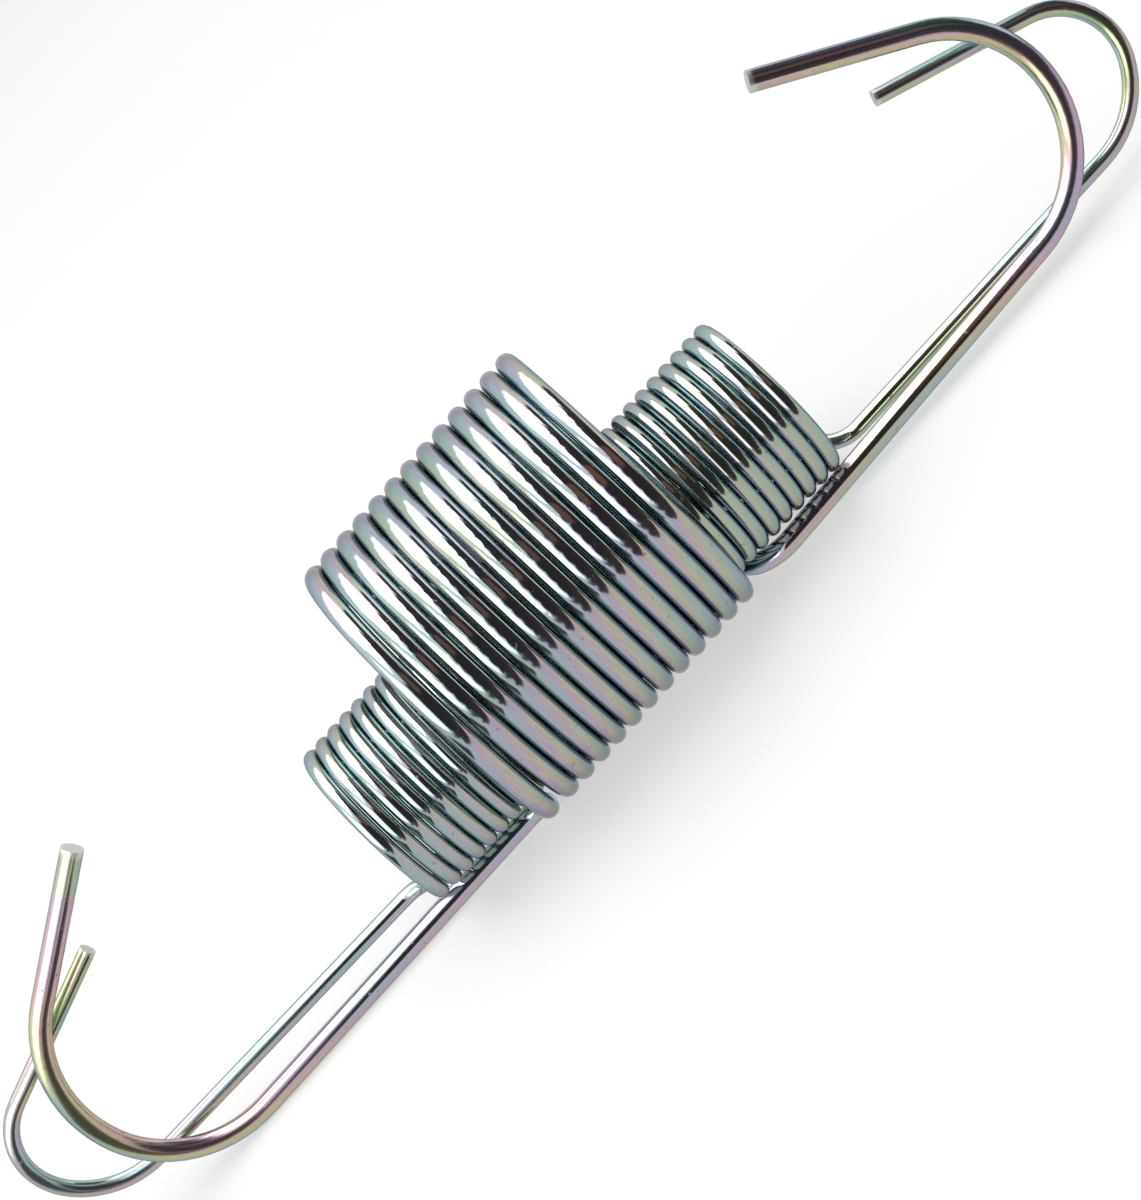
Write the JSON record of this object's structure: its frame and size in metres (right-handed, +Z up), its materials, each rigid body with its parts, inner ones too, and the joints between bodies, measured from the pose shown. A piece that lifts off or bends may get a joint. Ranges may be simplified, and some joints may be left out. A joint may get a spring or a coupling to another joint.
{
  "type": "double extension spring with open hooks",
  "caption": "Two close-wound wire extension springs nested one inside the other, each with a long straight leg and a large open hook at both ends, for pulling a lever back.",
  "frame": {"origin": "bottom centre of the pair's bounding box, on the ground it rests on", "axes": "+X along the coils towards the right hooks, +Z up from the ground, +Y away from the side the springs are seen from; the hooks stand above the legs"},
  "size_m": [0.0826, 0.018, 0.019],
  "materials": {
    "bright_zinc_wire": "bright zinc plating with a clear iridescent passivate, drawn spring wire",
    "pale_zinc_wire": "bright zinc plating with a clear greenish passivate, drawn spring wire"
  },
  "bodies": {
    "root": {"outer_spring": "bright_zinc_wire", "inner_spring": "pale_zinc_wire"}
  },
  "joints": []
}
